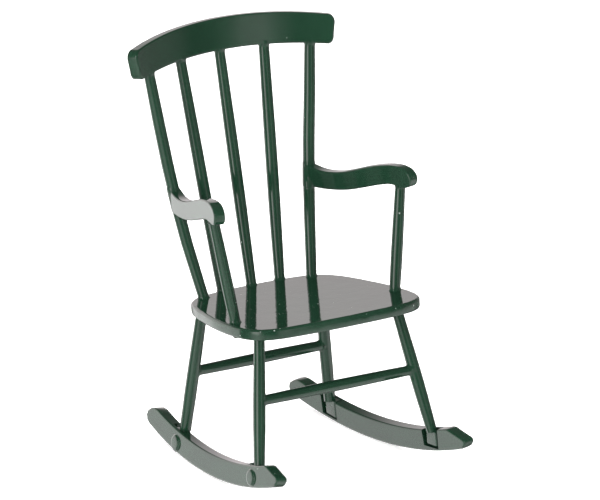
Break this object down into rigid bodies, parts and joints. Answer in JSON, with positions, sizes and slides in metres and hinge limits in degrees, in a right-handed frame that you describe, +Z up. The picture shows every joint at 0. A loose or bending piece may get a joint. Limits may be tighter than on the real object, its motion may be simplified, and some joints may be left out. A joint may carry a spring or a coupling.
{
  "type": "miniature rocking chair",
  "caption": "Doll-sized painted metal rocking chair with spindle back, S-curved arms and curved rockers.",
  "frame": {"origin": "on the floor under the middle of the chair's bounding box", "axes": "+X to the viewer's right (the chair is symmetric about X = 0), -Y to the front, +Z up"},
  "size_m": [0.0682, 0.0868, 0.1185],
  "materials": {
    "seat_paint": "gloss paint",
    "crest_rail_paint": "gloss paint",
    "spindle_centre_paint": "gloss paint",
    "spindle_left_paint": "gloss paint",
    "spindle_right_paint": "gloss paint",
    "back_post_left_paint": "gloss paint",
    "back_post_right_paint": "gloss paint",
    "arm_left_paint": "gloss paint",
    "arm_right_paint": "gloss paint",
    "arm_post_left_paint": "gloss paint",
    "arm_post_right_paint": "gloss paint",
    "leg_front_left_paint": "gloss paint",
    "leg_front_right_paint": "gloss paint",
    "leg_rear_left_paint": "gloss paint",
    "leg_rear_right_paint": "gloss paint",
    "stretcher_front_paint": "gloss paint",
    "stretcher_rear_paint": "gloss paint",
    "rocker_left_paint": "gloss paint",
    "rocker_right_paint": "gloss paint",
    "rivet_front_left_paint": "gloss paint",
    "rivet_front_right_paint": "gloss paint",
    "rivet_rear_left_paint": "gloss paint",
    "rivet_rear_right_paint": "gloss paint"
  },
  "bodies": {
    "root": {"seat": "seat_paint", "crest_rail": "crest_rail_paint", "spindle_centre": "spindle_centre_paint", "spindle_left": "spindle_left_paint", "spindle_right": "spindle_right_paint", "back_post_left": "back_post_left_paint", "back_post_right": "back_post_right_paint", "arm_left": "arm_left_paint", "arm_right": "arm_right_paint", "arm_post_left": "arm_post_left_paint", "arm_post_right": "arm_post_right_paint", "leg_front_left": "leg_front_left_paint", "leg_front_right": "leg_front_right_paint", "leg_rear_left": "leg_rear_left_paint", "leg_rear_right": "leg_rear_right_paint", "stretcher_front": "stretcher_front_paint", "stretcher_rear": "stretcher_rear_paint", "rocker_left": "rocker_left_paint", "rocker_right": "rocker_right_paint", "rivet_front_left": "rivet_front_left_paint", "rivet_front_right": "rivet_front_right_paint", "rivet_rear_left": "rivet_rear_left_paint", "rivet_rear_right": "rivet_rear_right_paint"}
  },
  "joints": []
}
